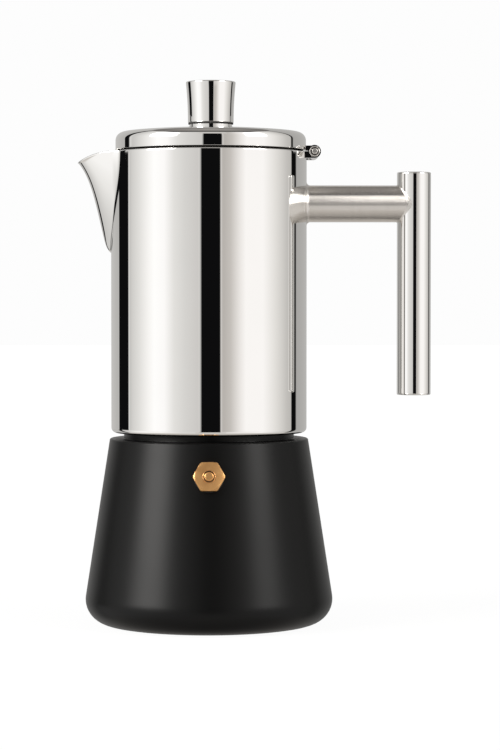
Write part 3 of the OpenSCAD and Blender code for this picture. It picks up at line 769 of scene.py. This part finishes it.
def handle_bar_grid(s):
    """Points of the oval bar. Its section is (W cos t, H sin t), its ends follow the jug's wall, x = sqrt(R^2 - y^2),
    and the grip, x = G - sqrt(r^2 - y^2), and near each end it widens by w - sqrt(w^2 - (w - d)^2) at the distance d
    from that wall, which is the concave weld."""
    t = np.linspace(0, 2 * np.pi, 160, endpoint=False)

    def widened(distance, weld):
        near = max(weld - max(distance, 0), 0)
        return weld - math.sqrt(max(weld**2 - near**2, 0))

    def section(grow):
        return (BAR_HALF_W + grow) * np.cos(t), (BAR_HALF_H + grow) * np.sin(t)

    def jug_x(y):
        return np.sqrt(JUG_R**2 - y**2)

    def grip_x(y):
        return GRIP_X - np.sqrt(np.clip(GRIP_R**2 - y**2, 0, None))

    steps = np.array([-0.3, 0, 0.03, 0.1, 0.22, 0.4, 0.62, 0.85, 1, 1.1])
    rows = [np.stack([np.full_like(t, JUG_R - 0.3 * s.jug_weld), 0 * t, 0 * t + BAR_Z], axis=-1)]
    for d in steps * s.jug_weld:
        y, z = section(widened(d, s.jug_weld))
        rows.append(np.stack([jug_x(y) + d, y, BAR_Z + z], axis=-1))
    y, z = section(0)
    start, end = jug_x(y) + 1.1 * s.jug_weld, grip_x(y) - 1.1 * s.grip_weld
    for f in np.linspace(0, 1, 12)[1:-1]:
        rows.append(np.stack([start + (end - start) * f, y, BAR_Z + z], axis=-1))
    for d in steps[::-1] * s.grip_weld:
        y, z = section(widened(d, s.grip_weld))
        rows.append(np.stack([grip_x(y) - d, y, BAR_Z + z], axis=-1))
    rows.append(np.stack([np.full_like(t, GRIP_X), 0 * t, 0 * t + BAR_Z], axis=-1))
    return np.array(rows)


class MOKA_OT_handle(bpy.types.Operator):
    """Make the oval bar, the tube grip and its two end plugs"""

    bl_idname = "moka.handle"
    bl_label = "Handle"

    def execute(self, context):
        s = context.scene.moka_handle
        steel = bpy.data.materials["polished_18_10_steel"]
        bar = surface("handle_oval_bar", handle_bar_grid(s), wrap_rows=False)
        finish_piece(bar, "jug", "polished_steel", spun_bar_steel(), "handle_bar", "bar_collar")

        cap = 0.6 * MM
        low, high = GRIP_LOW + cap, GRIP_TOP - cap
        bore = GRIP_R - s.tube_wall
        tube = turned("handle_tube_grip", outline([
            (bore, low, 0.15 * MM), (GRIP_R, low, 0.12 * MM), (GRIP_R, high, 0.12 * MM), (bore, high, 0.15 * MM),
        ], steps=5), (GRIP_X, 0), turns=160)
        finish_piece(tube, "jug", "polished_steel", steel, "handle_grip")
        plug = 3 * MM
        for name, node, z, up in (
            ("grip_plug_top", "grip_cap_top", high, 1), ("grip_plug_bottom", "grip_cap_bottom", low, -1),
        ):
            made = turned(name, outline([
                (0, z - up * plug, 0), (bore, z - up * plug, 0.2 * MM), (bore, z, 0.1 * MM),
                (GRIP_R, z, 0.1 * MM), (GRIP_R, z + up * cap, s.cap_bevel), (0, z + up * cap, 0),
            ], steps=6), (GRIP_X, 0), turns=160)
            finish_piece(made, "jug", "polished_steel", steel, node)
        return {"FINISHED"}


class MOKA_OT_hinge(bpy.types.Operator):
    """Make the hinge's nut, a dark ring in its bore that is painted shade in the gap round the bolt, and the bolt"""

    bl_idname = "moka.hinge"
    bl_label = "Hinge"

    def execute(self, context):
        steel = bpy.data.materials["tumbled_stainless_fasteners"]
        to_front = Matrix.Translation((HINGE.x, 0, HINGE.z)) @ Matrix.Rotation(math.radians(90), 4, "X")
        low, high = -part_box("hinge_nut")[1].y, -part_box("hinge_nut")[0].y
        flats, bore = 4.1 * MM, 1.25 * MM
        corner = flats / 2 / math.cos(math.radians(30))
        sink = 0.45 * MM
        rows = [(corner + MM, low, 1), (corner + MM, high - 0.35 * MM, 1)]
        rows += [(corner - 0.42 * MM * t**1.2, high - 0.3 * MM * (1 - t), 1) for t in np.linspace(0, 1, 7)]
        rows += [(bore + sink + 0.08 * MM, high, 0), (bore + sink, high - 0.02 * MM, 0)]
        rows += [(bore + 0.3 * MM, high - sink, 0)]
        rows += [(bore, high - sink - 0.05 * MM, 0), (bore, low, 0)]
        nut = settle(hexagonal("hinge_hex_nut", rows, flats, turns=120), to_front)
        nut.data.set_sharp_from_angle(angle=math.radians(40))
        finish_piece(nut, "jug", "hinge_steel", steel, "hinge_nut")

        # A dark ring in the nut's bore, where the gap round the bolt only holds shade: painted shade.
        shade_insert = turned("hinge_shade_ring", outline([
            (bore + 0.02 * MM, high - 0.8 * MM, 0.05 * MM), (bore + 0.42 * MM, high - 0.8 * MM, 0.05 * MM),
            (bore + 0.42 * MM, high - 0.12 * MM, 0.05 * MM), (bore + 0.02 * MM, high - 0.12 * MM, 0.05 * MM),
        ], steps=3), turns=64)
        finish_piece(settle(shade_insert, to_front), "jug", "valve_fibre", black_fibre_and_shade())

        front, back = -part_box("hinge_bolt")[0].y, -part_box("hinge_bolt")[1].y
        head_r, head_h = 2.4 * MM, 1.6 * MM
        bolt = turned("hinge_pivot_bolt", outline([
            (0, front, 0), (bore, front, 0.35 * MM), (bore, back + head_h, 0.1 * MM),
            (head_r, back + head_h, 0.15 * MM), (head_r - 0.35 * MM, back, 0.5 * MM), (0, back, 0),
        ], steps=5), turns=72)
        finish_piece(settle(bolt, to_front), "jug", "hinge_steel", steel, "hinge_bolt")
        return {"FINISHED"}


class MOKA_OT_lid(bpy.types.Operator):
    """Make the lid, its inner skirt in steel painted dark as shade, and the knob with its neck and a dark ring that is
    painted shade under it
    """

    bl_idname = "moka.lid"
    bl_label = "Lid"

    def execute(self, context):
        s = context.scene.moka_lid
        steel = bpy.data.materials["polished_18_10_steel"]

        def dome(drop, radii):
            return [(r, LID_TOP - drop - r * r / (2 * s.dome_radius), 0) for r in radii]

        outer_edge = (LID_R, LID_TOP - LID_R**2 / (2 * s.dome_radius), s.shoulder_round)
        bore = LID_R - s.sheet
        inner_edge = (bore, LID_TOP - s.sheet - bore**2 / (2 * s.dome_radius), s.shoulder_round - s.sheet)
        out = np.linspace(LID_R - 4 * MM, 0, 14)
        shell = turned("lid_shell_skin", outline([
            (bore, LID_LOW + s.gap, 0.3 * MM), (LID_R, LID_LOW + s.gap, 0.25 * MM), outer_edge, *dome(0, out),
            *dome(s.sheet, out[::-1]), inner_edge,
        ], steps=12), (LID_X, 0), turns=320)
        finish_piece(shell, "lid", "polished_steel", steel, "lid_shell")

        low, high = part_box("lid_skirt")[0].z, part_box("lid_skirt")[1].z
        skirt_r, skirt_wall = 37.1 * MM, 0.7 * MM
        skirt = turned("lid_inner_skirt", outline([
            (skirt_r - skirt_wall, low, 0.3 * MM), (skirt_r, low, 0.3 * MM), (skirt_r, high - skirt_wall, 0.3 * MM),
            (bore, high - skirt_wall, 0.1 * MM), (bore, high, 0.1 * MM), (skirt_r - skirt_wall, high, 0.9 * MM),
        ], steps=6), (LID_X, 0), turns=256)
        # The skirt's dark steel is painted shade for the gap between the lid and the jug.
        finish_piece(skirt, "lid", "pressed_steel", shade_darkened_steel(), "lid_skirt")

        neck_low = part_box("knob_collar")[0].z
        height = KNOB_TOP - KNOB_LOW
        base_r = KNOB_R - s.knob_flare
        foot = KNOB_LOW - s.knob_drop
        ring_low = foot - s.knob_shade_ring
        groove = NECK_R - MM
        flare = [(base_r + s.knob_flare * t * t, KNOB_LOW + height * t, 0) for t in np.linspace(0.06, 0.93, 14)]
        knob = turned("lid_knob", outline([
            (0, neck_low, 0), (NECK_R, neck_low, 0.1 * MM), (NECK_R, ring_low, 0.1 * MM),
            (groove, ring_low, 0.1 * MM), (groove, foot, 0.1 * MM), (base_r, foot, 0.3 * MM),
            *flare, (KNOB_R, KNOB_TOP, s.knob_bevel), (0, KNOB_TOP, 0),
        ], steps=8), (LID_X, 0), turns=200)
        finish_piece(knob, "lid", "polished_steel", steel, "knob", "knob_collar")

        # Dark ring in the groove under the knob: painted shade, a black piece where the groove only holds shade.
        ring_r = base_r - 0.12 * MM
        ring = turned("knob_shade_ring", outline([
            (groove - 0.3 * MM, ring_low + 0.02 * MM, 0.1 * MM), (ring_r, ring_low + 0.02 * MM, 0.12 * MM),
            (ring_r, foot - 0.02 * MM, 0.12 * MM), (groove - 0.3 * MM, foot - 0.02 * MM, 0.1 * MM),
        ], steps=3), (LID_X, 0), turns=160)
        finish_piece(ring, "lid", "valve_fibre", black_fibre_and_shade())
        return {"FINISHED"}


class MOKA_OT_finishes(bpy.types.Operator):
    """Make the shared materials and give the parts that keep their own shape their finish"""

    bl_idname = "moka.finishes"
    bl_label = "Finishes"

    def execute(self, context):
        polished = polished_steel()
        satin, cut, fasteners = pressed_steel(), turned_steel(), plated_fasteners()
        silicone, brass = seal_silicone(), turned_brass("b98a55")
        finish_of = {
            "boiler_neck": cut, "valve_boss": cut, "thread_ring": cut,
            "valve_seat": brass, "gasket": silicone,
            "funnel_basket": satin, "funnel_stem": satin, "funnel_sieve": satin, "filter_plate": satin,
            "jug_floor": satin, "column": satin, "column_cap": satin,
            "hinge_lugs": polished, "lid_tab": polished, "knob_washer": fasteners, "knob_screw": fasteners,
        }
        for node, material in finish_of.items():
            for slot in frame["nodes"][node].material_slots:
                slot.material = material
        return {"FINISHED"}


# Studio light by compass direction, 0 towards the camera and negative to its left, as (degrees, colour). AROUND is
# seen level, AROUND_LOW a little below the horizon and AROUND_HIGH a little above it, where the gaps are narrower.
FRONT = (
    (-102, "cecdcb"), (-90, "dfdedc"), (-74, "f8f7f6"), (-67, "ffffff"), (-53.5, "fbfafa"), (-41, "e1e0de"),
    (-28, "d4d3d1"), (-12, "cac8c6"), (-10.2, "d8d7d5"), (-9.2, "0d0d0e"), (13.2, "0d0d0e"), (14, "d2cfcc"),
    (15.8, "b4b0ac"), (25, "c3bfbb"), (37, "eae7e5"), (43.5, "f8f6f5"), (66, "f8f6f5"), (84, "e1dfdc"),
    (104, "c1bfbc"),
)
AROUND = (
    (-180, "bfbebc"), (-150, "bab9b7"), (-134, "b2b1af"), (-132.4, "c8c7c5"), (-131.2, "0d0d0e"),
    (-109.6, "0d0d0e"), (-108.4, "dad9d7"), (-106, "c1c0be"), *FRONT,
    (112.6, "b9b7b4"), (113.2, "0b0b0b"), (123.6, "0b0b0b"), (124.4, "a6a5a3"), (180, "b6b5b3"),
)
AROUND_LOW = (
    (-180, "b4b3b1"), (-138, "b4b3b1"), (-135.5, "c4c3c2"), (-134.5, "101010"), (-125.5, "101010"), (-124.5, "d2d1cf"),
    (-121, "c4c3c1"), (-112, "d2d1cf"), (-100, "e8e7e5"), (-85, "f6f5f4"), (-60, "f8f7f6"), (-34, "dad9d7"),
    (-12, "cfcecc"), (-9.2, "0d0d0e"), (13.2, "0d0d0e"), (14, "d2cfcc"), (37, "eae7e5"), (66, "f8f6f5"),
    (104, "c1bfbc"), (112.6, "b9b7b4"), (113.2, "0b0b0b"), (123.6, "0b0b0b"), (124.4, "a6a5a3"), (180, "b4b3b1"),
)
AROUND_HIGH = (
    (-180, "bfbebc"), (-150, "bab9b7"), (-129, "b2b1af"), (-127.6, "c8c7c5"), (-126.6, "0d0d0e"),
    (-116, "0d0d0e"), (-115, "dad9d7"), (-109, "c4c3c1"), *FRONT,
    (113, "b9b7b4"), (113.8, "0b0b0b"), (117.4, "0b0b0b"), (118.2, "a6a5a3"), (180, "b6b5b3"),
)

# Light above and below the lights that stand around, by height above the horizon, as (degrees, colour, share).
ABOVE = (
    (-90, "75726f", 0), (-80, "928e8a", 0), (-65, "aaa6a1", 0), (-34, "cbc7c2", 0),
    (-30, "cbc7c2", 1), (50, "6c6967", 1), (52, "6c6967", 0), (58, "73706e", 0), (70, "868380", 0), (90, "9b9895", 0),
)

# The heights in degrees between which AROUND_LOW gives way to AROUND, and AROUND to AROUND_HIGH.
LOW_ENDS, HIGH_STARTS = (-7.5, -5.5), (3.1, 3.2)

# Heights in degrees beyond which the dark gap in the middle fades, and the compass directions that this covers.
GAP_ENDS, GAP_SPAN = ((24, 27), (-10, -12)), (-16, 20)

# A dark line in front, from and to a height in degrees.
DARK_LINE = (46, 52)

# Lamps as (degrees round, half of the width, brightness), and their lower and upper end in degrees.
LAMPS, LAMP_HEIGHTS = ((-60, 11.5, 13.5), (57, 7.5, 7.8)), (11, 30)


def ramp_over(tree, angle, half, stops):
    """Colour ramp over an angle in radians, from -half to half degrees. Stops are (degrees, linear colour)."""
    made = add(tree, "ShaderNodeValToRGB", {"Fac": step_up(tree, angle, -math.radians(half), math.radians(half))})
    elements = made.color_ramp.elements
    while len(elements) > 1:
        elements.remove(elements[-1])
    places = [((degrees + half) / (2 * half), colour) for degrees, colour in stops]
    elements[0].position, elements[0].color = places[0]
    for place, colour in places[1:]:
        elements.new(place).color = colour
    return made.outputs["Color"]


def between(tree, value, low, high, soft):
    """1 between low and high, 0 outside, in degrees over an angle in radians."""
    up = step_up(tree, value, math.radians(low - soft), math.radians(low))
    down = step_up(tree, value, math.radians(high + soft), math.radians(high))
    return multiply(tree, up, down)


def above_height(tree, height, ends):
    """0 to 1 over a height between two ends in degrees."""
    return step_up(tree, height, *(math.radians(end) for end in ends))


def dark_line(tree, colour, height, towards):
    """Frame of the lights in front: a dark line across, above the camera."""
    share = multiply(tree, step_up(tree, towards, 0.15, 0.3), between(tree, height, *DARK_LINE, 1.0))
    return mix_colour(tree, share, colour, linear("131211"))


def lamp(tree, colour, compass, height, degrees, half, glow):
    """Lamp behind the cloth of a softbox: far brighter than white. half is half of its width in degrees."""
    away = add(tree, "ShaderNodeMath", {0: compass, 1: math.radians(degrees)}, operation="SUBTRACT").outputs[0]
    inside = multiply(tree, between(tree, away, -half, half, 8.0), between(tree, height, *LAMP_HEIGHTS, 6.5))
    return mix_colour(tree, inside, colour, brighter(linear("fffdfa"), glow))


def studio_light(strength):
    """World that is white where the camera sees it. Reflections see softboxes round the horizon with black gaps
    between them, a grey ceiling above and the pale floor below."""
    world = bpy.data.worlds.new("studio")
    world.use_nodes = True
    tree = world.node_tree
    tree.nodes.clear()
    direction = add(tree, "ShaderNodeTexCoord").outputs["Generated"]
    parts = add(tree, "ShaderNodeSeparateXYZ", {0: direction})
    towards = multiply(tree, parts.outputs["Y"], -1.0)
    compass = add(tree, "ShaderNodeMath", {0: parts.outputs["X"], 1: towards}, operation="ARCTAN2").outputs[0]
    height = add(tree, "ShaderNodeMath", {0: parts.outputs["Z"]}, operation="ARCSINE").outputs[0]

    low, level, high = (
        ramp_over(tree, compass, 180, [(degrees, linear(colour)) for degrees, colour in stops])
        for stops in (AROUND_LOW, AROUND, AROUND_HIGH)
    )
    ring = mix_colour(tree, above_height(tree, height, LOW_ENDS), low, level)
    ring = mix_colour(tree, above_height(tree, height, HIGH_STARTS), ring, high)
    for ends in GAP_ENDS:
        faded = multiply(tree, between(tree, compass, *GAP_SPAN, 1.0), above_height(tree, height, ends))
        ring = mix_colour(tree, faded, ring, linear("c9c6c3"))

    above = ramp_over(tree, height, 90, [(degrees, linear(colour)) for degrees, colour, share in ABOVE])
    share = ramp_over(tree, height, 90, [(degrees, (share, share, share, 1)) for degrees, colour, share in ABOVE])
    mixed = dark_line(tree, mix_colour(tree, share, above, ring), height, towards)
    for degrees, half, glow in LAMPS:
        mixed = lamp(tree, mixed, compass, height, degrees, half, glow)
    lights = add(tree, "ShaderNodeBackground", {"Color": mixed, "Strength": strength})
    backdrop = add(tree, "ShaderNodeBackground", {"Color": linear("fdfdfd"), "Strength": 1.0})
    seen = add(tree, "ShaderNodeLightPath")
    chosen = add(
        tree, "ShaderNodeMixShader",
        {0: seen.outputs["Is Camera Ray"], 1: lights.outputs["Background"], 2: backdrop.outputs["Background"]},
    )
    add(tree, "ShaderNodeOutputWorld", {"Surface": chosen.outputs["Shader"]})
    return world


class MOKA_OT_stage(bpy.types.Operator):
    """Make the floor, the studio light and the camera"""

    bl_idname = "moka.stage"
    bl_label = "Stage"

    def execute(self, context):
        s = context.scene.moka_stage
        context.scene.world = studio_light(s.light)
        context.scene.view_settings.view_transform = "Standard"

        half = s.floor_size / 2
        mesh = bpy.data.meshes.new("floor")
        mesh.from_pydata([(-half, -half, 0), (half, -half, 0), (half, half, 0), (-half, half, 0)], [], [(0, 1, 2, 3)])
        floor = bpy.data.objects.new("floor", mesh)
        context.scene.collection.objects.link(floor)
        mesh.materials.append(floor_paper("484848", 0.95))
        floor.visible_glossy = False

        lens = bpy.data.cameras.new("view")
        lens.sensor_fit = "VERTICAL"
        lens.sensor_height = 36
        lens.lens = s.lens
        lens.clip_end = 50
        eye, target = Vector(s.eye), Vector(s.target)
        camera = bpy.data.objects.new("view", lens)
        camera.matrix_world = Matrix.Translation(eye) @ (target - eye).to_track_quat("-Z", "Y").to_matrix().to_4x4()
        context.scene.collection.objects.link(camera)
        context.scene.camera = camera
        return {"FINISHED"}


class MOKA_PT_panel(bpy.types.Panel):
    """Buttons for the coffee maker's parts"""

    bl_idname = "MOKA_PT_panel"
    bl_label = "Coffee maker"
    bl_space_type = "VIEW_3D"
    bl_region_type = "UI"
    bl_category = "Coffee maker"

    def draw(self, context):
        for operator in OPERATORS:
            self.layout.operator(operator.bl_idname)
        for name in SETTINGS:
            group = getattr(context.scene, name)
            box = self.layout.box()
            for key in group.bl_rna.properties.keys():
                if key not in {"rna_type", "name"}:
                    box.prop(group, key)


SETTINGS = {
    "moka_boiler": MokaBoilerSettings,
    "moka_valve": MokaValveSettings,
    "moka_jug": MokaJugSettings,
    "moka_handle": MokaHandleSettings,
    "moka_lid": MokaLidSettings,
    "moka_stage": MokaStageSettings,
}

OPERATORS = (
    MOKA_OT_stage, MOKA_OT_finishes, MOKA_OT_boiler, MOKA_OT_valve,
    MOKA_OT_jug, MOKA_OT_handle, MOKA_OT_hinge, MOKA_OT_lid,
)


def register():
    for made in (*SETTINGS.values(), *OPERATORS, MOKA_PT_panel):
        bpy.utils.register_class(made)
    for name, group in SETTINGS.items():
        setattr(bpy.types.Scene, name, PointerProperty(type=group))


def unregister():
    for name in SETTINGS:
        delattr(bpy.types.Scene, name)
    for made in reversed((*SETTINGS.values(), *OPERATORS, MOKA_PT_panel)):
        bpy.utils.unregister_class(made)


def main():
    """Builds the whole coffee maker on its stage."""
    register()
    for operator in OPERATORS:
        group, name = operator.bl_idname.split(".")
        getattr(getattr(bpy.ops, group), name)()


if __name__ == "__main__":
    main()
